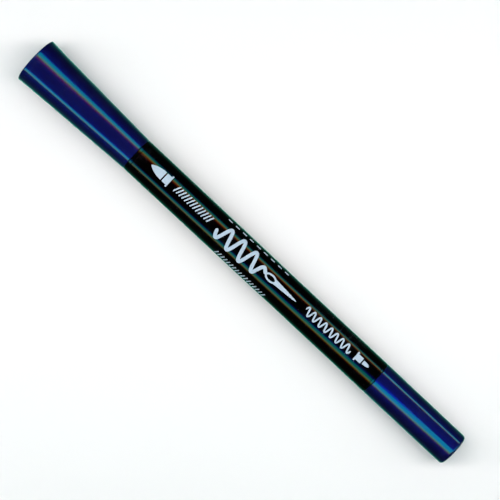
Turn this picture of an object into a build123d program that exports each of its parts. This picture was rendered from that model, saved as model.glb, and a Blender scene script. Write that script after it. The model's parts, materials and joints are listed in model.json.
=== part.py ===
from build123d import *
import os
from math import cos, radians, sin, tan

# A double-ended fabric marking pen: a flared cap over a brush nib, a plain cap over a bullet nib.
#
# The pen lies along X with its flared cap towards -X, and the lowest point of that cap's rim is at Z = 0
# under the middle of the pen's length. Radii are measured from the pen's axis. All sizes are in millimetres.

# Driving sizes of the outside
LENGTH = 160.0
BRUSH_CAP_LENGTH = 38.6
BRUSH_MOUTH_RADIUS = 5.29
BRUSH_CONE_RADIUS = 7.02  # what the brush cap's cone would reach at its wide end
FLARE_LENGTH = 8.0  # the last stretch of that cap, where it sweeps out beyond the cone
FLARE_SWEEP = 0.1
BRUSH_ROUNDING = 0.3  # edge of the wide rim, which the pen can stand on
BRUSH_FLANGE = 1.0  # width of the holder's ring that shows between cap and barrel
BARREL_WIDE_RADIUS = 5.31  # at the brush end
BARREL_RADIUS = 5.145  # along the parallel stretch
BARREL_TAPER_END = 20.0  # from here to the bullet end the barrel is parallel
BULLET_FLANGE = 0.7
BULLET_CAP_LENGTH = 29.9
BULLET_MOUTH_RADIUS = 5.13
BULLET_END_RADIUS = 5.045
BULLET_ROUNDING = 0.8
BULLET_CROWN = 0.2  # how far the closed end bulges
GATE_RADIUS = 1.0  # dimple round the moulding gate, in the middle of each closed end
GATE_DEPTH = 0.25
STUB_RADIUS = 0.4  # what is left of the gate itself, below the face
STUB_HEIGHT = 0.12

# Driving sizes of the inside
BARREL_BORE = 4.0
PLUG_BORE = 4.35  # counterbore at each barrel end for a tip holder
PLUG_LENGTH = 11.0
RESERVOIR_RADIUS = 3.6
FILM = 0.12
RIB_WIDTH = 0.6
RESERVOIR_POCKET = 3.85  # the holders' rear bores, which centre the reservoir
POCKET_DEPTH = 7.6
BRUSH_NIB_RADIUS = 2.6
BRUSH_NIB_SHOWING = 11.0
BRUSH_TAIL_RADIUS = 1.7
BULLET_NIB_RADIUS = 1.2
BULLET_NIB_SHOWING = 4.5
TAIL_EMBEDDED = 8.5  # how far each nib's tail runs into the reservoir
CLAMP_WALL = 0.4
CLAMP_SETBACK = 3.0  # from the holder's front face to the nib clamp
BRUSH_LAND_RADIUS = 4.3  # what the brush cap slides on
BRUSH_NOZZLE_RADIUS = 3.6
BULLET_LAND_RADIUS = 4.2
BULLET_NOZZLE_RADIUS = 2.3
BULLET_RELIEF = 0.7  # the bullet nib's bore widens by this behind its grip
BRUSH_VENT = 0.6  # width of the air grooves beside a nib
BULLET_VENT = 0.45
BEAD = 0.13  # height of the snap bead on each land
BEAD_HALF = 0.6
GROOVE = 0.11  # depth of the groove in a cap, over its bead
GROOVE_HALF = 0.9
WALL = 1.0  # cap wall
LEDGE = 0.2  # step that a cap's end plug rests on
RIM_RECESS = 0.2  # from the wide rim to the end plug's face
SEAL_WALL = 0.8
SEAL_FLOOR = 1.0
SEAL_FLANGE = 1.6
SEAL_ROOM = 0.5  # between a nib and its seal
SPIGOT_RADIUS = 3.4
SPIGOT_WALL = 1.0

# Clearances and small edges
RUNNING = 0.04  # between a part that slides and its bore
FIXED = 0.02  # between parts that are pressed together
FLANGE_INSET = 0.03  # a holder's ring is this much smaller than the barrel
NIB_EASE = 0.05  # between a nib and its nozzle
CHAMFER = 0.15
NIB_CHAMFER = 0.4
NOZZLE_ROUNDING = 0.3
OVERCUT = 1.0  # how far a cutter runs past what it cuts

# Stations along the axis
FLARE_END = -LENGTH / 2
BRUSH_MOUTH = FLARE_END + BRUSH_CAP_LENGTH
BARREL_START = BRUSH_MOUTH + BRUSH_FLANGE
BULLET_END = LENGTH / 2
BULLET_MOUTH = BULLET_END - BULLET_CAP_LENGTH
BARREL_END = BULLET_MOUTH - BULLET_FLANGE
BRUSH_BEAD = BRUSH_MOUTH - 4.6
BRUSH_LAND_END = BRUSH_MOUTH - 9.0
BRUSH_NOZZLE_START = BRUSH_LAND_END - 1.6
BRUSH_LIP = BRUSH_NOZZLE_START - 5.4  # front face of the brush tip holder
BRUSH_POINT = BRUSH_LIP - BRUSH_NIB_SHOWING
BRUSH_SEAL_END = BRUSH_POINT - 2.1  # inside face of the brush cap's seal
PLUG_SEAT = FLARE_END + 1.8
BULLET_BEAD = BULLET_MOUTH + 4.1
BULLET_LAND_END = BULLET_MOUTH + 7.5
BULLET_NOZZLE_START = BULLET_LAND_END + 2.4
BULLET_LIP = BULLET_NOZZLE_START + 3.4
BULLET_POINT = BULLET_LIP + BULLET_NIB_SHOWING
BULLET_SEAL_END = BULLET_POINT + 1.6
BULLET_LEDGE = BULLET_LIP + 2.6  # what the bullet cap's seal stops against
RESERVOIR_START = BARREL_START + PLUG_LENGTH - POCKET_DEPTH + FIXED
RESERVOIR_END = BARREL_END - PLUG_LENGTH + POCKET_DEPTH - FIXED

# Radii that follow from the others
BRUSH_CAP_BORE = BRUSH_LAND_RADIUS + BEAD + FIXED
BULLET_CAP_BORE = BULLET_LAND_RADIUS + BEAD + FIXED
BULLET_SEAL_BORE = BULLET_LAND_RADIUS - 0.3
BULLET_DEEP_BORE = BULLET_LAND_RADIUS - 0.95
HALF_TURN_RISE = cos(radians(45))  # of a quarter circle, at its middle


def brush_cap_radius(x):
    """Outside radius of the brush cap's cone at a station."""
    along = (BRUSH_MOUTH - x) / BRUSH_CAP_LENGTH
    return BRUSH_MOUTH_RADIUS + (BRUSH_CONE_RADIUS - BRUSH_MOUTH_RADIUS) * along


def outline(start, *steps):
    """A closed face in the half plane above the axis. A step is the next point (x, r), or
    ((x, r), (x, r)): a point that an arc passes through and the arc's end."""
    edges, at = [], (start[0], 0, start[1])
    for step in (*steps, start):
        points = [(p[0], 0, p[1]) for p in (step if isinstance(step[0], tuple) else (step,))]
        edges.append(ThreePointArc(at, *points) if len(points) == 2 else Line(at, points[0]))
        at = points[-1]
    return make_face(edges)


def turned(start, *steps):
    """The solid that an outline sweeps round the pen's axis."""
    return revolve(outline(start, *steps), Axis.X, 360)


def keys(count, x0, x1, r0, r1, width):
    """Straight bars along the axis, from radius r0 to r1, evenly spaced round it."""
    bar = Pos((x0 + x1) / 2, 0, (r0 + r1) / 2) * Box(x1 - x0, width, r1 - r0)
    return [Rot(360 / count * i, 0, 0) * bar for i in range(count)]


def bead(x, land, out):
    """Steps of a snap bead on a land, travelling towards out (+1 or -1 along X)."""
    return (x - out * BEAD_HALF, land), ((x, land + BEAD), (x + out * BEAD_HALF, land))


def groove(x, bore, out):
    """Steps of the shallow groove in a cap's bore that the bead sits in, travelling towards out."""
    return (x - out * GROOVE_HALF, bore), ((x, bore + GROOVE), (x + out * GROOVE_HALF, bore))


def rounded(x, side, out):
    """Steps round a nozzle's corner, from its side to its front face at x, travelling towards out."""
    bite = NOZZLE_ROUNDING * (1 - HALF_TURN_RISE)
    return (x - out * NOZZLE_ROUNDING, side), ((x - out * bite, side - bite), (x, side - NOZZLE_ROUNDING))


def gate(face, into):
    """Steps from the edge of the dimple in a face to the axis, where into is +1 or -1 along X."""
    floor, stub = face + into * GATE_DEPTH, face + into * (GATE_DEPTH - STUB_HEIGHT)
    return (floor, GATE_RADIUS), (floor, STUB_RADIUS), (stub, STUB_RADIUS), (stub, 0)


def round_rim(shell, x, radius):
    """Round the widest edge of a cap at a station."""
    circles = shell.edges().filter_by(lambda edge: edge.is_closed)
    rims = circles.filter_by_position(Axis.X, x - CHAMFER, x + CHAMFER)
    return fillet(rims.sort_by(SortBy.RADIUS)[-1], radius)


def barrel():
    """Tube with a counterbore at each end and six ribs that hold the reservoir off the wall."""
    start_bore, end_bore = BARREL_START + PLUG_LENGTH, BARREL_END - PLUG_LENGTH
    tube = turned(
        (BARREL_START, PLUG_BORE),
        (BARREL_START, BARREL_WIDE_RADIUS - CHAMFER),
        (BARREL_START + CHAMFER, BARREL_WIDE_RADIUS),
        (BARREL_TAPER_END, BARREL_RADIUS),
        (BARREL_END - CHAMFER, BARREL_RADIUS),
        (BARREL_END, BARREL_RADIUS - CHAMFER),
        (BARREL_END, PLUG_BORE),
        (end_bore, PLUG_BORE),
        (end_bore, BARREL_BORE),
        (start_bore, BARREL_BORE),
        (start_bore, PLUG_BORE),
    )
    rib_top, rib_root = RESERVOIR_RADIUS + FILM + RUNNING, (BARREL_BORE + PLUG_BORE) / 2
    return tube + keys(6, start_bore, end_bore, rib_top, rib_root, RIB_WIDTH)


def brush_tip_holder():
    """Moulded front section at the brush end: barrel plug, flange, cap land with bead, and nozzle."""
    rear, pocket = BARREL_START + PLUG_LENGTH, BARREL_START + PLUG_LENGTH - POCKET_DEPTH
    lip_bore, clamp_bore = BRUSH_NIB_RADIUS + NIB_EASE, BRUSH_NIB_RADIUS + CLAMP_WALL
    clamp_seat, plug = BRUSH_LIP + CLAMP_SETBACK, PLUG_BORE - FIXED
    flange = BARREL_WIDE_RADIUS - FLANGE_INSET
    body = turned(
        (rear, RESERVOIR_POCKET),
        (rear, plug - CHAMFER),
        (rear - CHAMFER, plug),
        (BARREL_START, plug),
        (BARREL_START, flange),
        (BRUSH_MOUTH + CHAMFER, flange),
        (BRUSH_MOUTH, flange - CHAMFER),
        (BRUSH_MOUTH, BRUSH_LAND_RADIUS),
        *bead(BRUSH_BEAD, BRUSH_LAND_RADIUS, -1),
        (BRUSH_LAND_END, BRUSH_LAND_RADIUS),
        (BRUSH_NOZZLE_START, BRUSH_NOZZLE_RADIUS),
        *rounded(BRUSH_LIP, BRUSH_NOZZLE_RADIUS, -1),
        (BRUSH_LIP, lip_bore),
        (clamp_seat, lip_bore),
        (clamp_seat, clamp_bore),
        (pocket, clamp_bore),
        (pocket, RESERVOIR_POCKET),
    )
    vent_floor, vent_top = lip_bore - OVERCUT, clamp_bore - NIB_EASE
    return body - keys(6, BRUSH_LIP - OVERCUT, clamp_seat + OVERCUT, vent_floor, vent_top, BRUSH_VENT)


def brush_nib_clamp():
    """Slit sleeve pressed into the holder, which grips the soft nib all round."""
    start, end = BRUSH_LIP + CLAMP_SETBACK + FIXED, BRUSH_MOUTH - 1.0
    inside, outside = BRUSH_NIB_RADIUS + FIXED, BRUSH_NIB_RADIUS + CLAMP_WALL - FIXED
    sleeve = turned((start, inside), (start, outside), (end, outside), (end, inside))
    slit = keys(1, start - OVERCUT, end + OVERCUT, inside - OVERCUT / 2, outside + OVERCUT / 2, BRUSH_VENT)
    return sleeve - slit


def brush_nib():
    """Felt brush: an ogive point, a parallel body in the clamp, and a thinner tail in the reservoir."""
    blunt, taper, tail_taper = 0.22, 1.2, 1.0
    tail_end, body_end = RESERVOIR_START + TAIL_EMBEDDED, BRUSH_MOUTH + 1.0
    ogive = (BRUSH_NIB_RADIUS**2 + BRUSH_NIB_SHOWING**2) / (2 * BRUSH_NIB_RADIUS)
    middle = BRUSH_LIP - BRUSH_NIB_SHOWING / 2
    middle_radius = (ogive**2 - (BRUSH_NIB_SHOWING / 2) ** 2) ** 0.5 - ogive + BRUSH_NIB_RADIUS
    tip_middle = (BRUSH_POINT + blunt * (1 - HALF_TURN_RISE), blunt * HALF_TURN_RISE)
    return turned(
        (BRUSH_POINT, 0),
        (tip_middle, (BRUSH_POINT + blunt, blunt)),
        ((middle, middle_radius), (BRUSH_LIP, BRUSH_NIB_RADIUS)),
        (body_end, BRUSH_NIB_RADIUS),
        (body_end + taper, BRUSH_TAIL_RADIUS),
        (tail_end - tail_taper, BRUSH_TAIL_RADIUS),
        (tail_end, BRUSH_TAIL_RADIUS - NIB_CHAMFER),
        (tail_end, 0),
    )


def ink_reservoir():
    """Bonded fibre rod with a socket at each end that fits a nib's tail."""
    brush_tail = RESERVOIR_START + TAIL_EMBEDDED + FIXED
    bullet_tail = RESERVOIR_END - TAIL_EMBEDDED - FIXED
    return turned(
        (brush_tail, 0),
        (brush_tail, BRUSH_TAIL_RADIUS + FIXED),
        (RESERVOIR_START, BRUSH_TAIL_RADIUS + FIXED),
        (RESERVOIR_START, RESERVOIR_RADIUS),
        (RESERVOIR_END, RESERVOIR_RADIUS),
        (RESERVOIR_END, BULLET_NIB_RADIUS + FIXED),
        (bullet_tail, BULLET_NIB_RADIUS + FIXED),
        (bullet_tail, 0),
    )


def reservoir_film():
    """Plastic film wrapped round the reservoir, a little short of its ends."""
    bare = 0.6
    start, end = RESERVOIR_START + bare, RESERVOIR_END - bare
    inside, outside = RESERVOIR_RADIUS + FIXED / 2, RESERVOIR_RADIUS + FILM
    return turned((start, inside), (start, outside), (end, outside), (end, inside))


def bullet_tip_holder():
    """Moulded front section at the bullet end, with a narrow nozzle."""
    rear, pocket = BARREL_END - PLUG_LENGTH, BARREL_END - PLUG_LENGTH + POCKET_DEPTH
    nib_bore, plug = BULLET_NIB_RADIUS + NIB_EASE, PLUG_BORE - FIXED
    flange = BARREL_RADIUS - FLANGE_INSET
    relief_bore, relief_end, relief_taper = BULLET_NIB_RADIUS + BULLET_RELIEF, BULLET_LIP - 4.0, 1.0
    body = turned(
        (rear, RESERVOIR_POCKET),
        (rear, plug - CHAMFER),
        (rear + CHAMFER, plug),
        (BARREL_END, plug),
        (BARREL_END, flange),
        (BULLET_MOUTH - CHAMFER, flange),
        (BULLET_MOUTH, flange - CHAMFER),
        (BULLET_MOUTH, BULLET_LAND_RADIUS),
        *bead(BULLET_BEAD, BULLET_LAND_RADIUS, 1),
        (BULLET_LAND_END, BULLET_LAND_RADIUS),
        (BULLET_NOZZLE_START, BULLET_NOZZLE_RADIUS),
        *rounded(BULLET_LIP, BULLET_NOZZLE_RADIUS, 1),
        (BULLET_LIP, nib_bore),
        (relief_end, nib_bore),
        (relief_end - relief_taper, relief_bore),
        (pocket, relief_bore),
        (pocket, RESERVOIR_POCKET),
    )
    vent_floor, vent_top = nib_bore / 2, BULLET_NIB_RADIUS + 0.3
    return body - keys(4, relief_end - OVERCUT, BULLET_LIP + OVERCUT, vent_floor, vent_top, BULLET_VENT)


def bullet_nib():
    """Hard fibre rod with a bullet point: a cone that ends in part of a ball."""
    tail_end, ball, half_angle = RESERVOIR_END - TAIL_EMBEDDED, 0.6, radians(15)
    cone_end, cone_tip = BULLET_POINT - ball * (1 - sin(half_angle)), ball * cos(half_angle)
    cone_start = cone_end - (BULLET_NIB_RADIUS - cone_tip) / tan(half_angle)
    ball_middle = (BULLET_POINT - ball * (1 - HALF_TURN_RISE), ball * HALF_TURN_RISE)
    return turned(
        (tail_end, 0),
        (tail_end, BULLET_NIB_RADIUS - NIB_CHAMFER),
        (tail_end + NIB_CHAMFER, BULLET_NIB_RADIUS),
        (cone_start, BULLET_NIB_RADIUS),
        (cone_end, cone_tip),
        (ball_middle, (BULLET_POINT, 0)),
    )


def brush_cap_shell():
    """Flared sleeve, open at both ends for moulding. A step inside seats the inner seal."""
    flare_start, flare_middle = FLARE_END + FLARE_LENGTH, FLARE_END + FLARE_LENGTH / 2
    inner_end = brush_cap_radius(PLUG_SEAT) - WALL
    shell = turned(
        (BRUSH_MOUTH, BRUSH_CAP_BORE + 2 * CHAMFER),
        (BRUSH_MOUTH, BRUSH_MOUTH_RADIUS - CHAMFER),
        (BRUSH_MOUTH - CHAMFER, BRUSH_MOUTH_RADIUS),
        (flare_start, brush_cap_radius(flare_start)),
        (
            (flare_middle, brush_cap_radius(flare_middle) + FLARE_SWEEP / 4),
            (FLARE_END, BRUSH_CONE_RADIUS + FLARE_SWEEP),
        ),
        (FLARE_END, inner_end + LEDGE),
        (PLUG_SEAT, inner_end + LEDGE),
        (PLUG_SEAT, inner_end),
        (BRUSH_NOZZLE_START, brush_cap_radius(BRUSH_NOZZLE_START) - WALL),
        (BRUSH_NOZZLE_START, BRUSH_CAP_BORE),
        *groove(BRUSH_BEAD, BRUSH_CAP_BORE, 1),
        (BRUSH_MOUTH - 2 * CHAMFER, BRUSH_CAP_BORE),
    )
    return round_rim(shell, FLARE_END, BRUSH_ROUNDING)


def brush_cap_end_plug():
    """Disc that closes the wide end, just below the rim, with a spigot that holds the inner seal."""
    face, radius = FLARE_END + RIM_RECESS, brush_cap_radius(PLUG_SEAT) - WALL + LEDGE - FIXED
    spigot_end = BRUSH_SEAL_END - SEAL_FLOOR - FIXED
    spigot_bore, draft = SPIGOT_RADIUS - SPIGOT_WALL, 0.2
    return turned(
        *reversed(gate(face, 1)),
        (face, GATE_RADIUS),
        (face, radius - CHAMFER),
        (face + CHAMFER, radius),
        (PLUG_SEAT, radius),
        (PLUG_SEAT, SPIGOT_RADIUS),
        (spigot_end, SPIGOT_RADIUS - draft),
        (spigot_end, spigot_bore),
        (PLUG_SEAT, spigot_bore - draft),
        (PLUG_SEAT, 0),
    )


def brush_cap_inner_seal():
    """Thimble that closes on the nozzle and keeps the brush nib from drying."""
    seat, flange = BRUSH_NOZZLE_START - FIXED, brush_cap_radius(BRUSH_NOZZLE_START) - WALL - FIXED
    lip_bore, chamber = BRUSH_NOZZLE_RADIUS + RUNNING, BRUSH_NIB_RADIUS + SEAL_ROOM
    return turned(
        (seat, lip_bore + CHAMFER),
        (seat, flange),
        (seat - SEAL_FLANGE, flange),
        (seat - SEAL_FLANGE, lip_bore + SEAL_WALL),
        (BRUSH_LIP - 0.6, lip_bore + SEAL_WALL),
        (BRUSH_LIP - 1.6, chamber + SEAL_WALL),
        (BRUSH_SEAL_END - SEAL_FLOOR, chamber + SEAL_WALL),
        (BRUSH_SEAL_END - SEAL_FLOOR, 0),
        (BRUSH_SEAL_END, 0),
        (BRUSH_SEAL_END, chamber),
        (BRUSH_LIP - 1.0, chamber),
        (BRUSH_LIP - 0.4, lip_bore),
        (seat - CHAMFER, lip_bore),
    )


def bullet_cap_shell():
    """Plain cap with a crowned closed end and a stepped bore."""
    step, floor = BULLET_NOZZLE_START - 0.6, BULLET_END - 1.4
    crown_middle = (BULLET_END - BULLET_CROWN / 4, BULLET_END_RADIUS / 2)
    shell = turned(
        (BULLET_MOUTH, BULLET_CAP_BORE + 2 * CHAMFER),
        (BULLET_MOUTH, BULLET_MOUTH_RADIUS - CHAMFER),
        (BULLET_MOUTH + CHAMFER, BULLET_MOUTH_RADIUS),
        (BULLET_END - BULLET_CROWN, BULLET_END_RADIUS),
        (crown_middle, (BULLET_END, GATE_RADIUS)),
        *gate(BULLET_END, -1),
        (floor, 0),
        (floor, BULLET_DEEP_BORE),
        (BULLET_LEDGE, BULLET_DEEP_BORE),
        (BULLET_LEDGE, BULLET_SEAL_BORE),
        (step, BULLET_SEAL_BORE),
        (step, BULLET_CAP_BORE),
        *groove(BULLET_BEAD, BULLET_CAP_BORE, -1),
        (BULLET_MOUTH + 2 * CHAMFER, BULLET_CAP_BORE),
    )
    return round_rim(shell, BULLET_END - BULLET_CROWN, BULLET_ROUNDING)


def bullet_cap_inner_seal():
    """Thimble in the plain cap that closes on the narrow nozzle."""
    lip, ledge = BULLET_NOZZLE_START + 0.9, BULLET_LEDGE - FIXED
    lip_bore, chamber = BULLET_NOZZLE_RADIUS + RUNNING, BULLET_NIB_RADIUS + SEAL_ROOM
    outside, body = BULLET_SEAL_BORE - FIXED, BULLET_DEEP_BORE - 0.25
    return turned(
        (lip, lip_bore + CHAMFER),
        (lip, outside - CHAMFER),
        (lip + CHAMFER, outside),
        (ledge, outside),
        (ledge, body),
        (BULLET_SEAL_END + SEAL_FLOOR, body),
        (BULLET_SEAL_END + SEAL_FLOOR, 0),
        (BULLET_SEAL_END, 0),
        (BULLET_SEAL_END, chamber),
        (BULLET_LIP + 0.9, chamber),
        (BULLET_LIP + 0.3, lip_bore),
        (lip + CHAMFER, lip_bore),
    )


PIECES = (
    barrel,
    brush_tip_holder,
    brush_nib_clamp,
    brush_nib,
    ink_reservoir,
    reservoir_film,
    bullet_tip_holder,
    bullet_nib,
    brush_cap_shell,
    brush_cap_end_plug,
    brush_cap_inner_seal,
    bullet_cap_shell,
    bullet_cap_inner_seal,
)

axis_height = brush_cap_shell().bounding_box().max.Z  # the rim is the widest part, and it rests on Z = 0
os.makedirs("parts", exist_ok=True)
for piece in PIECES:
    export_step(Pos(0, 0, axis_height) * piece(), f"parts/{piece.__name__}.step")
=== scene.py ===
import json
from math import cos, hypot, pi, radians, sin, sqrt

import bpy
import numpy as np
from mathutils import Matrix, Vector
from mathutils.noise import noise as field


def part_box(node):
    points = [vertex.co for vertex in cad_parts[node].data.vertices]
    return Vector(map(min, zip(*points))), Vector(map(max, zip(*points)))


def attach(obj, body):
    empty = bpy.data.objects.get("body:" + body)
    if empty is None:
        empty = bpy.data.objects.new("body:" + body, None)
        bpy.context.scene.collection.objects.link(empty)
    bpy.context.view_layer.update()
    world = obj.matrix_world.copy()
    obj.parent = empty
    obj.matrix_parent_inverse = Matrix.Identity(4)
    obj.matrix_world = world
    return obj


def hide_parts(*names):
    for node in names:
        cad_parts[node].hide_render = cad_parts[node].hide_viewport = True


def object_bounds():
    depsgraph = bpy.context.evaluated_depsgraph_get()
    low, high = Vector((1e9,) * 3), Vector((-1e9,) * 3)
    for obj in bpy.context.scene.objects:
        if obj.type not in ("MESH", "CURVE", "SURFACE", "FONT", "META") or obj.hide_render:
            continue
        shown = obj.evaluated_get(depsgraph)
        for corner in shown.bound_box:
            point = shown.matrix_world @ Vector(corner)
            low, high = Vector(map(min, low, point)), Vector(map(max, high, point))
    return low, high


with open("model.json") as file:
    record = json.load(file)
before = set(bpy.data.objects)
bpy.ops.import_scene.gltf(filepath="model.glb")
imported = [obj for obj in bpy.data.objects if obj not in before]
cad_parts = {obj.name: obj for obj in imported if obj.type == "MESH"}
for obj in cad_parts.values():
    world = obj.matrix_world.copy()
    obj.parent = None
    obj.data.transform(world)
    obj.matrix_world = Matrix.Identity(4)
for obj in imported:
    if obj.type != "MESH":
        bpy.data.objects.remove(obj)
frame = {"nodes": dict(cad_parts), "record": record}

# A fabric marking pen that lies along X on a pale table, seen from straight above.
# Sizes are in metres, except where a name ends in _MM or a comment says millimetres.

MM = 0.001
cad_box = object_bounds()
flare_low, flare_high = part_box("brush_cap_shell")
plain_low, plain_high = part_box("bullet_cap_shell")
barrel_low, barrel_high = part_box("barrel")
AXIS_HEIGHT = (flare_low.z + flare_high.z) / 2
AXIS = Vector((0, 0, AXIS_HEIGHT))

# ---------------------------------------------------------------- camera and light

# The camera looks straight down, and its own right and up are turned about the vertical.
TURN = radians(43.07)
RIGHT = Vector((cos(TURN), sin(TURN), 0))
UP = Vector((-sin(TURN), cos(TURN), 0))
CAMERA_HEIGHT = 0.5358
SIGHT = RIGHT * 0.001525 + UP * 0.001532  # the middle of the view, beside the middle of the pen
LENS_MM = 138.0
SENSOR_MM = 36.0

# Two long lamps run parallel to the camera's right, one each side of the pen, and show only in
# the gloss. Each is three strips of colour, a little out of line, which gives the coloured edges
# of the bright lines.
# A row is the name, the offset along UP, the height above the axis, and the three radiances.
GLOSS_LAMPS = (
    ("far", 0.107, 0.12, (1.30, 2.9, 2.9)),
    ("near", -0.086, 0.10, (0.90, 3.0, 3.4)),
)
# A strip's row is its name, its colour, its offset along UP from the lamp's middle and its width.
STRIPS = (
    ("red", (1, 0, 0), -0.023, 0.030),
    ("green", (0, 1, 0), 0.0, 0.045),
    ("blue", (0, 0, 1), 0.012, 0.045),
)
STRIP_LENGTH = 0.9

# Two lamps light the table and the matt surfaces, and don't show in the gloss: a long one over
# the pen, parallel to the others, and a very broad one that fills the shadows.
# A row is the name, the size, the offset along UP, the height above the axis, the colour and the
# radiance.
TABLE_LAMPS = (
    ("overhead", (3.0, 0.075), 0.014, 0.25, (1.0, 0.90, 0.90), 7.0),
    ("fill", (8.0, 8.0), 0.0, 1.5, (0.72, 1.0, 1.0), 0.46),
)

TABLE_REACH = 3.0
TABLE_COLORS = ((0.79, 0.79, 0.79, 1), (0.8, 0.8, 0.8, 1))
BACKDROP = (0.93, 0.94, 0.95, 1)

# What the gloss reflects besides the lamps, from straight down (0) to the horizon (0.5). Above
# the horizon it is as dark as at the horizon.
SURROUND = (
    (0.0, (0.10, 0.80, 0.60, 1)),
    (0.115, (0.03, 0.26, 0.17, 1)),
    (0.22, (0.008, 0.07, 0.045, 1)),
    (0.315, (0.004, 0.018, 0.014, 1)),
    (0.5, (0.002, 0.003, 0.003, 1)),
)


def link(obj):
    bpy.context.scene.collection.objects.link(obj)
    return obj


def facing(place, right, up):
    """The matrix of a camera or lamp at place, which looks along its own -Z."""
    return Matrix.Translation(place) @ Matrix((right, up, right.cross(up))).transposed().to_4x4()


def add_camera():
    data = bpy.data.cameras.new("camera")
    data.sensor_width = SENSOR_MM
    data.lens = LENS_MM
    camera = link(bpy.data.objects.new("camera", data))
    camera.matrix_world = facing(AXIS + SIGHT + Vector((0, 0, CAMERA_HEIGHT)), RIGHT, UP)
    bpy.context.scene.camera = camera


def add_lamp(name, place, up, size, color, radiance):
    """A rectangular lamp whose face has the same radiance at any size."""
    data = bpy.data.lights.new(name, "AREA")
    data.shape = "RECTANGLE"
    data.size, data.size_y = size
    data.color = color
    data.energy = radiance * pi * size[0] * size[1]
    lamp = link(bpy.data.objects.new(name, data))
    lamp.matrix_world = facing(place, RIGHT, up)
    lamp.visible_camera = False
    return lamp


def add_lamps():
    for side, offset, height, radiances in GLOSS_LAMPS:
        toward = (UP * offset + Vector((0, 0, height))).normalized()
        for (strip, color, shift, width), radiance in zip(STRIPS, radiances):
            place = AXIS + UP * (offset + shift) + Vector((0, 0, height))
            size = (STRIP_LENGTH, width)
            lamp = add_lamp(f"lamp_{side}_{strip}", place, toward.cross(RIGHT), size, color, radiance)
            lamp.visible_diffuse = False
    for name, size, offset, height, color, radiance in TABLE_LAMPS:
        place = AXIS + UP * offset + Vector((0, 0, height))
        lamp = add_lamp(name, place, UP, size, color, radiance)
        lamp.visible_glossy = False


# ---------------------------------------------------------------- node graphs

def put(tree, kind, settings=None, **inputs):
    """A shader node. An input is a value, or another node's output to link."""
    node = tree.nodes.new("ShaderNode" + kind)
    for name, value in (settings or {}).items():
        setattr(node, name, value)
    for name, value in inputs.items():
        socket = node.inputs[name.replace("_", " ")]
        if isinstance(value, bpy.types.NodeSocket):
            tree.links.new(value, socket)
        else:
            socket.default_value = value
    return node


def ramp(tree, fac, stops):
    """A colour ramp through (place, colour) stops, as its colour output."""
    node = put(tree, "ValToRGB", Fac=fac)
    elements = node.color_ramp.elements
    for index, (place, color) in enumerate(stops):
        element = elements[index] if index < 2 else elements.new(place)
        element.position = place
        element.color = color
    return node.outputs["Color"]


def spread(tree, value, low, high):
    """Carry 0..1 to low..high."""
    return put(tree, "MapRange", Value=value, To_Min=low, To_Max=high).outputs["Result"]


def blend(tree, fac, first, second):
    """Mix two colours."""
    node = put(tree, "Mix", {"data_type": "RGBA"})
    for index, value in ((0, fac), (6, first), (7, second)):
        if isinstance(value, bpy.types.NodeSocket):
            tree.links.new(value, node.inputs[index])
        else:
            node.inputs[index].default_value = value
    return node.outputs[2]


def noise(tree, stretch, scale, detail=3.0, roughness=0.5):
    """Noise over the object, stretched along X, Y and Z, with about scale features per metre."""
    coords = put(tree, "TexCoord").outputs["Object"]
    mapped = put(tree, "Mapping", Vector=coords, Scale=stretch).outputs["Vector"]
    made = put(tree, "TexNoise", Vector=mapped, Scale=scale, Detail=detail, Roughness=roughness)
    return made.outputs["Fac"]


def hairlines(tree, stretch, scale, share):
    """Thin bright lines where stretched noise crosses its middle. A smaller share is thinner."""
    value = noise(tree, stretch, scale, detail=1.0)
    offset = put(tree, "Math", {"operation": "SUBTRACT"}, Value=value)
    offset.inputs[1].default_value = 0.5
    distance = put(tree, "Math", {"operation": "ABSOLUTE"}, Value=offset.outputs[0]).outputs[0]
    line = put(tree, "MapRange", Value=distance, From_Min=0.0, From_Max=share, To_Min=1.0, To_Max=0.0)
    patches = noise(tree, ROUND, 130.0, detail=2.0)
    worn = put(tree, "MapRange", Value=patches, From_Min=0.5, From_Max=0.62)
    both = put(tree, "Math", {"operation": "MULTIPLY"}, Value=line.outputs[0])
    tree.links.new(worn.outputs[0], both.inputs[1])
    return both.outputs[0]


def bump(tree, height, distance, normal=None):
    node = put(tree, "Bump", Height=height, Distance=distance, Strength=1.0)
    if normal is not None:
        tree.links.new(normal, node.inputs["Normal"])
    return node.outputs["Normal"]


def material(name, **constants):
    """A material whose shader's constants are set on its own sockets."""
    made = bpy.data.materials.new(name)
    made.use_nodes = True
    shader = made.node_tree.nodes["Principled BSDF"]
    for key, value in constants.items():
        shader.inputs[key.replace("_", " ")].default_value = value
    return made, made.node_tree, shader


def connect(tree, shader, color, roughness, normal):
    tree.links.new(color, shader.inputs["Base Color"])
    tree.links.new(roughness, shader.inputs["Roughness"])
    tree.links.new(normal, shader.inputs["Normal"])


# ---------------------------------------------------------------- materials

SCRATCHED = (0.20, 0.24, 0.34, 1)
DUSTY = (0.45, 0.47, 0.5, 1)
ROUND = (1, 1, 1)  # the same every way
LENGTHWISE = (0.04, 1, 1)  # drawn out along the pen
CROSSWISE = (1, 0.05, 0.05)  # drawn out round the pen


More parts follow.
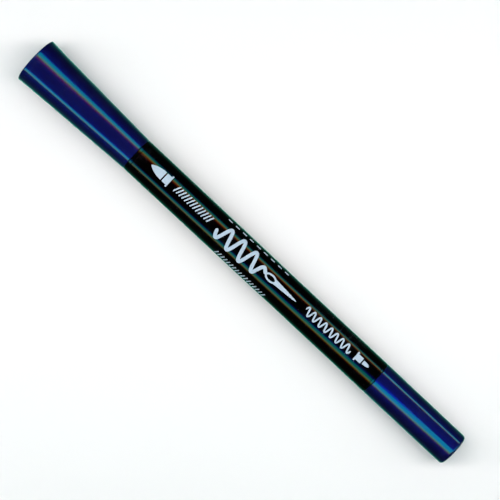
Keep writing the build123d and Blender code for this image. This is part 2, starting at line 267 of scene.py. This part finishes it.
def polished_plastic(name, dark, light, gloss, **constants):
    """Polished moulding: flow marks in the colour, faint ripple, hairline scratches and dust."""
    made, tree, shader = material(name, **constants)
    flow = noise(tree, LENGTHWISE, 700.0)
    rubbed = hairlines(tree, LENGTHWISE, 2600.0, 0.012)
    turned = hairlines(tree, CROSSWISE, 2100.0, 0.010)
    scratches = put(tree, "Math", {"operation": "MAXIMUM"}, Value=rubbed)
    tree.links.new(turned, scratches.inputs[1])
    specks = put(tree, "TexVoronoi", Vector=put(tree, "TexCoord").outputs["Object"], Scale=520.0)
    dust = put(tree, "MapRange", Value=specks.outputs["Distance"], From_Min=0.045, From_Max=0.02)
    body = blend(tree, flow, dark, light)
    worn = blend(tree, spread(tree, scratches.outputs[0], 0.0, 0.05), body, SCRATCHED)
    color = blend(tree, spread(tree, dust.outputs[0], 0.0, 0.16), worn, DUSTY)
    haze = noise(tree, ROUND, 90.0)
    base = spread(tree, haze, gloss * 0.8, gloss * 1.25)
    lift = put(tree, "Math", {"operation": "ADD", "use_clamp": True}, Value=base)
    tree.links.new(spread(tree, scratches.outputs[0], 0.0, 0.18), lift.inputs[1])
    ripple = bump(tree, noise(tree, ROUND, 260.0, detail=1.0), 0.0000020)
    cut = bump(tree, spread(tree, scratches.outputs[0], 1.0, 0.0), 0.0000006, ripple)
    connect(tree, shader, color, lift.outputs[0], cut)
    tree.links.new(cut, shader.inputs["Coat Normal"])
    return made


def satin_plastic(name, dark, light, rough, grain, **constants):
    """Unpolished moulding: cloudy colour and a fine spark-eroded grain."""
    made, tree, shader = material(name, **constants)
    cloud = noise(tree, ROUND, 240.0)
    fine = noise(tree, ROUND, 5200.0, detail=4.0, roughness=0.65)
    color = blend(tree, cloud, dark, light)
    connect(tree, shader, color, spread(tree, fine, rough * 0.8, rough * 1.2), bump(tree, fine, grain))
    return made


def fibres(name, dark, light, stretch, fineness, depth, **constants):
    """Ink-soaked fibres that run along the pen, wetter in some places than in others."""
    made, tree, shader = material(name, **constants)
    strands = noise(tree, stretch, fineness, detail=5.0, roughness=0.6)
    soaked = noise(tree, ROUND, 420.0)
    mixed = put(tree, "Math", {"operation": "MULTIPLY"}, Value=strands)
    tree.links.new(soaked, mixed.inputs[1])
    color = blend(tree, spread(tree, mixed.outputs[0], 0.0, 3.0), dark, light)
    connect(tree, shader, color, spread(tree, soaked, 0.6, 0.95), bump(tree, strands, depth))
    return made


def printed_ink():
    """Pale blue screen print: a little uneven, with pinholes."""
    made, tree, shader = material("printed_ink", IOR=1.45)
    uneven = noise(tree, ROUND, 900.0)
    pinholes = put(tree, "MapRange", Value=noise(tree, ROUND, 4200.0), From_Min=0.28, From_Max=0.33)
    ink = blend(tree, uneven, (0.34, 0.43, 0.53, 1), (0.42, 0.52, 0.62, 1))
    color = blend(tree, pinholes.outputs[0], (0.10, 0.14, 0.20, 1), ink)
    connect(tree, shader, color, spread(tree, uneven, 0.42, 0.55), bump(tree, uneven, 0.000004))
    return made


def clear_film():
    """Thin clear wrap with faint lengthwise wrinkles."""
    made, tree, shader = material("clear_film", IOR=1.49, Transmission_Weight=0.85)
    wrinkles = noise(tree, LENGTHWISE, 1100.0)
    color = blend(tree, wrinkles, (0.76, 0.80, 0.84, 1), (0.86, 0.88, 0.90, 1))
    connect(tree, shader, color, spread(tree, wrinkles, 0.08, 0.22), bump(tree, wrinkles, 0.00002))
    return made


def make_materials():
    """One material for each of the record's slots."""
    black = ((0.0002, 0.0002, 0.0003, 1), (0.0005, 0.0004, 0.0006, 1))
    black_ring = ((0.0004, 0.0004, 0.0005, 1), (0.0010, 0.0009, 0.0012, 1))
    navy = ((0.0021, 0.0003, 0.0150, 1), (0.0030, 0.0006, 0.0195, 1))
    waxy = ((0.56, 0.60, 0.66, 1), (0.68, 0.72, 0.77, 1))
    natural = ((0.70, 0.70, 0.66, 1), (0.80, 0.80, 0.77, 1))
    wet_felt = ((0.003, 0.005, 0.038, 1), (0.016, 0.024, 0.130, 1))
    fibre = ((0.010, 0.018, 0.140, 1), (0.080, 0.120, 0.480, 1))
    return {
        "barrel_plastic": polished_plastic(
            "barrel_plastic", *black, 0.12, IOR=1.71, Specular_Tint=(1, 0.43, 0.31, 1)
        ),
        "holder_plastic": satin_plastic("holder_plastic", *black_ring, 0.16, 0.0000008, IOR=1.5),
        "cap_plastic": polished_plastic(
            "cap_plastic",
            *navy,
            0.5,
            IOR=1.62,
            Specular_IOR_Level=1.0,
            Specular_Tint=(0, 0.08, 1, 1),
            Coat_Weight=1.0,
            Coat_IOR=1.62,
            Coat_Roughness=0.13,
        ),
        "seal_plastic": satin_plastic(
            "seal_plastic", *waxy, 0.42, 0.000003, IOR=1.51, Subsurface_Weight=0.25
        ),
        "clamp_plastic": satin_plastic("clamp_plastic", *natural, 0.5, 0.000004, IOR=1.48),
        "nib_felt": fibres("nib_felt", *wet_felt, (0.10, 1, 1), 5200.0, 0.00004, Sheen_Weight=0.05),
        "reservoir_fibre": fibres("reservoir_fibre", *fibre, (0.03, 1, 1), 3400.0, 0.00005),
        "reservoir_film": clear_film(),
        "print": printed_ink(),
    }


def paint_nodes(materials):
    for row in frame["record"]["subparts"]:
        slots = frame["nodes"][row["node"]].data.materials
        slots.clear()
        slots.append(materials[row["material_slot"]])


# ---------------------------------------------------------------- felt of the brush nib

STRANDS = 44
STRAND_DEPTH_MM = 0.05
DEEPEST_SHARE = 0.12  # of the nib's radius, so that the grooves fade out towards its point
NIB_ROWS = 90
NIB_COLUMNS = 4 * STRANDS
CROWDING = 1.8  # above 1, the rows are closer together near the point


def turned_outline(node, least=0.0):
    """Stations along a turned CAD node and its outside radius at each, from its mesh. Points
    nearer the axis than least are left out."""
    radii = {}
    for vertex in frame["nodes"][node].data.vertices:
        radius = hypot(vertex.co.y, vertex.co.z - AXIS_HEIGHT)
        if radius >= least:
            station = round(vertex.co.x, 6)
            radii[station] = max(radius, radii.get(station, 0))
    stations = sorted(radii)
    return stations, [radii[station] for station in stations]


def felt_radius(x, angle, radius):
    """The nib's outline, less the grooves between its strands, which wander and come and go."""
    along = x / MM
    wander = field(Vector((0.35 * along, 2 * sin(angle), 2 * cos(angle))))
    patch = field(Vector((0.8 * along, 5 * sin(angle), 5 * cos(angle))))
    between = (1 + cos(STRANDS * angle + 5 * wander)) / 2
    depth = STRAND_DEPTH_MM * MM * between * (0.65 + 0.6 * patch)
    return radius - min(depth, DEEPEST_SHARE * radius)


def add_felt_nib(felt):
    """The brush nib with its strands, on the CAD nib's own outline."""
    stations, radii = turned_outline("brush_nib")
    point, end = stations[0], stations[-1]
    vertices, faces = [(point, 0, AXIS_HEIGHT)], []
    for row in range(1, NIB_ROWS + 1):
        x = point + (end - point) * (row / NIB_ROWS) ** CROWDING
        outside = float(np.interp(x, stations, radii))
        for column in range(NIB_COLUMNS):
            angle = 2 * pi * column / NIB_COLUMNS
            radius = felt_radius(x, angle, outside)
            vertices.append((x, radius * sin(angle), AXIS_HEIGHT + radius * cos(angle)))
    for column in range(NIB_COLUMNS):
        beside = (column + 1) % NIB_COLUMNS
        faces.append((0, 1 + column, 1 + beside))
        for row in range(NIB_ROWS - 1):
            here, ahead = 1 + row * NIB_COLUMNS, 1 + (row + 1) * NIB_COLUMNS
            faces.append((here + column, ahead + column, ahead + beside, here + beside))
    last = len(vertices) - NIB_COLUMNS
    faces.append(tuple(reversed(range(last, len(vertices)))))
    mesh = bpy.data.meshes.new("felt_nib")
    mesh.from_pydata(vertices, [], faces)
    mesh.materials.append(felt)
    mesh.shade_smooth()
    mesh.set_sharp_from_angle(angle=radians(50))
    nib = link(bpy.data.objects.new("felt_nib", mesh))
    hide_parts("brush_nib")
    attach(nib, "pen")


# ---------------------------------------------------------------- printing on the barrel

# The printing is laid out flat in millimetres: x along the pen, y round the barrel from its top
# line towards +Y. Each motif is a few strokes, and a stroke is rows of points across its width.
INK_MM = 0.02  # how far the ink stands up
ROOT_MM = 0.01  # and how far it reaches into the barrel's surface
PRINT_LINE = 0.75  # y of the middle of the printed line
ACROSS = 7  # points across a stroke
NUDGE = 0.001  # a small step along a stroke, and the half width that a pointed end keeps
HOLDER_RIM = 0.5  # how long a pictured tip holder's rim is, and how far it stands out each side


def stroke(path, half, steps=24):
    """Rows of points across a stroke. path and half are functions of 0 to 1 along it: its middle,
    and half its width. The rows are closer together near the ends."""
    rows = []
    for step in range(steps + 1):
        t = (1 - cos(pi * step / steps)) / 2
        along = (path(min(t + NUDGE, 1)) - path(max(t - NUDGE, 0))).normalized()
        side = Vector((-along.y, along.x)) * half(t)
        rows.append([path(t) + side * (2 * i / (ACROSS - 1) - 1) for i in range(ACROSS)])
    return rows


def straight(start, end):
    start, end = Vector(start), Vector(end)
    return lambda t: start.lerp(end, t)


def even(half):
    return lambda t: half


def round_ends(half, length):
    """Half the width of a stroke of this length with half-round ends."""
    blunt = 0.02 * half  # keeps the very end from closing to nothing

    def at(t):
        from_end = min(t, 1 - t) * length + blunt
        return sqrt(half**2 - max(half - from_end, 0) ** 2)

    return at


def brush_tip_motif():
    """A pointed nib in its holder: an ogive, a gap, a block and a rim."""
    point, base, gap, block, half = -36.0, -31.4, 0.45, 1.5, 1.4
    y = PRINT_LINE + 0.05
    holder = base + gap
    rim = holder + block

    def ogive(t):
        return half * (1 - (1 - t) ** 2) ** 0.8 + NUDGE

    return [
        stroke(straight((point, y), (base, y)), ogive),
        stroke(straight((holder, y), (rim, y)), even(half)),
        stroke(straight((rim, y), (rim + HOLDER_RIM, y)), even(half + HOLDER_RIM)),
    ]


def bullet_tip_motif():
    """A narrow round-ended nib in its holder."""
    start, block, gap, nib, half, nib_half = 41.4, 1.8, 0.45, 2.1, 0.9, 0.58
    y = PRINT_LINE + 0.1
    block_start = start + HOLDER_RIM
    nib_start = block_start + block + gap

    def bullet(t):
        from_end = (1 - t) * nib
        return nib_half * sqrt(max(1 - max(1 - from_end / nib, 0) ** 3, 0)) + NUDGE

    return [
        stroke(straight((start, y), (block_start, y)), even(half + HOLDER_RIM)),
        stroke(straight((block_start, y), (block_start + block, y)), even(half)),
        stroke(straight((nib_start, y), (nib_start + nib, y)), bullet),
    ]


def slanted_stitches(start, end, middle, height, count, half):
    """A row of slanted stitches between two stations."""
    lean, pitch = 0.45 * height, (end - start) / count
    length = hypot(lean, height)
    rows = []
    for index in range(count):
        x = start + (index + 0.5) * pitch
        low, high = (x - lean / 2, middle - height / 2), (x + lean / 2, middle + height / 2)
        rows.append(stroke(straight(low, high), round_ends(half, length)))
    return rows


def zigzag_stitch(start, end, middle, height, turns, half):
    """A sewing machine's zigzag, with softened corners."""
    length = end - start

    def path(t):
        wave = sin(2 * pi * turns * t)
        swing = wave * (1.25 - 0.25 * wave * wave) / 2
        return Vector((start + length * t, middle + swing * height))

    return [stroke(path, round_ends(half, length), steps=turns * 28)]


def running_stitches(start, end, y, count, half):
    """A straight row of stitches between two stations."""
    pitch = (end - start) / count
    length = 0.55 * pitch
    rows = []
    for index in range(count):
        x = start + index * pitch
        rows.append(stroke(straight((x, y), (x + length, y)), round_ends(half, length)))
    return rows


def needle_and_thread():
    """A needle that pulls a waving thread."""
    y, start, knot, eye, point = 0.4, -10.6, 7.8, 9.6, 19.2
    waves, thread_length = 4, 34.0

    def thread(t):
        settling = min(1, 6 * (1 - t))  # the waves die away over the last sixth
        swell = (2.1 + 0.8 * sin(pi * t)) * settling
        return Vector((start + (knot - start) * t, y - swell * sin(2 * pi * waves * t)))

    def eye_loop(t):
        return Vector((eye + 1.7 * cos(2 * pi * t), y + 0.9 * sin(2 * pi * t)))

    def shaft(t):
        return 0.72 * (1 - t) ** 0.6 + 0.03

    return [
        stroke(thread, round_ends(0.5, thread_length), steps=150),
        stroke(eye_loop, even(0.26), steps=48),
        stroke(straight((eye + 1.6, y), (point, y)), shaft),
    ]


def wrapped(x, y, lift, outline):
    """The point at x, y on the barrel, in metres, lifted off its surface. All three are in mm."""
    radius = float(np.interp(x * MM, *outline))
    angle = y * MM / radius
    out = radius + lift * MM
    return (x * MM, out * sin(angle), AXIS_HEIGHT + out * cos(angle))


def slab_faces(first, rows, columns):
    """Faces of a closed slab whose vertices are a grid of tops, then the same grid of bottoms."""
    size = rows * columns
    faces = []
    for row in range(rows - 1):
        for column in range(columns - 1):
            at = first + row * columns + column
            quad = (at, at + 1, at + columns + 1, at + columns)
            faces += [quad, tuple(corner + size for corner in reversed(quad))]
    rim = [first + column for column in range(columns)]
    rim += [first + row * columns + columns - 1 for row in range(1, rows)]
    rim += [first + (rows - 1) * columns + column for column in range(columns - 2, -1, -1)]
    rim += [first + row * columns for row in range(rows - 2, 0, -1)]
    for here, ahead in zip(rim, rim[1:] + rim[:1]):
        faces.append((here, here + size, ahead + size, ahead))
    return faces


def add_print(name, strokes, outline, ink):
    """One printed motif, as a thin raised layer of ink wrapped round the barrel."""
    vertices, faces = [], []
    for rows in strokes:
        faces += slab_faces(len(vertices), len(rows), ACROSS)
        for lift in (INK_MM, -ROOT_MM):
            vertices += [wrapped(point.x, point.y, lift, outline) for row in rows for point in row]
    mesh = bpy.data.meshes.new(name)
    mesh.from_pydata(vertices, [], faces)
    mesh.materials.append(ink)
    mesh.shade_smooth()
    mesh.set_sharp_from_angle(angle=radians(40))
    piece = link(bpy.data.objects.new(name, mesh))
    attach(piece, "pen")


def print_barrel(ink):
    outline = turned_outline("barrel", least=0.95 * (barrel_high.y - barrel_low.y) / 2)
    add_print("print_brush_tip", brush_tip_motif(), outline, ink)
    add_print("print_bullet_tip", bullet_tip_motif(), outline, ink)
    add_print("print_needle_and_thread", needle_and_thread(), outline, ink)
    upper = slanted_stitches(start=-26.7, end=-13.2, middle=PRINT_LINE, height=2.3, count=13, half=0.2)
    add_print("print_upper_stitches", upper, outline, ink)
    lower = slanted_stitches(start=-7.0, end=11.7, middle=-5.6, height=1.9, count=17, half=0.16)
    add_print("print_lower_stitches", lower, outline, ink)
    zigzag = zigzag_stitch(start=22.6, end=39.6, middle=PRINT_LINE, height=2.3, turns=8, half=0.24)
    add_print("print_zigzag", zigzag, outline, ink)
    seam = running_stitches(start=-10.0, end=14.0, y=5.2, count=9, half=0.2)
    add_print("print_running_stitches", seam, outline, ink)


# ---------------------------------------------------------------- table and surroundings

def add_table():
    """A pale table that rises a little along the pen, so that it touches both caps."""
    low, high = cad_box[0].z, plain_low.z
    section = (
        (-TABLE_REACH, low),
        (flare_low.x, low),
        (plain_high.x, high),
        (TABLE_REACH, high),
    )
    vertices = [(x, y, z) for x, z in section for y in (-TABLE_REACH, TABLE_REACH)]
    faces = [(i, i + 2, i + 3, i + 1) for i in range(0, len(vertices) - 2, 2)]
    mesh = bpy.data.meshes.new("table")
    mesh.from_pydata(vertices, [], faces)
    made, tree, shader = material("table", Roughness=0.9)
    shade = noise(tree, ROUND, 30.0)
    tree.links.new(blend(tree, shade, *TABLE_COLORS), shader.inputs["Base Color"])
    mesh.materials.append(made)
    table = link(bpy.data.objects.new("table", mesh))
    table.visible_glossy = False  # the gloss shows SURROUND in its place


def add_surroundings():
    """Dark above and teal below for the gloss, and a pale backdrop behind the table."""
    world = bpy.data.worlds.new("studio")
    bpy.context.scene.world = world
    world.use_nodes = True
    tree = world.node_tree
    direction = put(tree, "TexCoord").outputs["Generated"]
    height = put(tree, "SeparateXYZ", Vector=direction).outputs["Z"]
    span = put(tree, "MapRange", Value=height, From_Min=-1.0, From_Max=1.0).outputs["Result"]
    seen = put(tree, "LightPath").outputs["Is Camera Ray"]
    color = blend(tree, seen, ramp(tree, span, SURROUND), BACKDROP)
    tree.links.new(color, tree.nodes["Background"].inputs["Color"])


add_camera()
add_lamps()
add_table()
add_surroundings()
materials = make_materials()
paint_nodes(materials)
add_felt_nib(materials["nib_felt"])
print_barrel(materials["print"])
bpy.context.scene.view_settings.view_transform = "Standard"
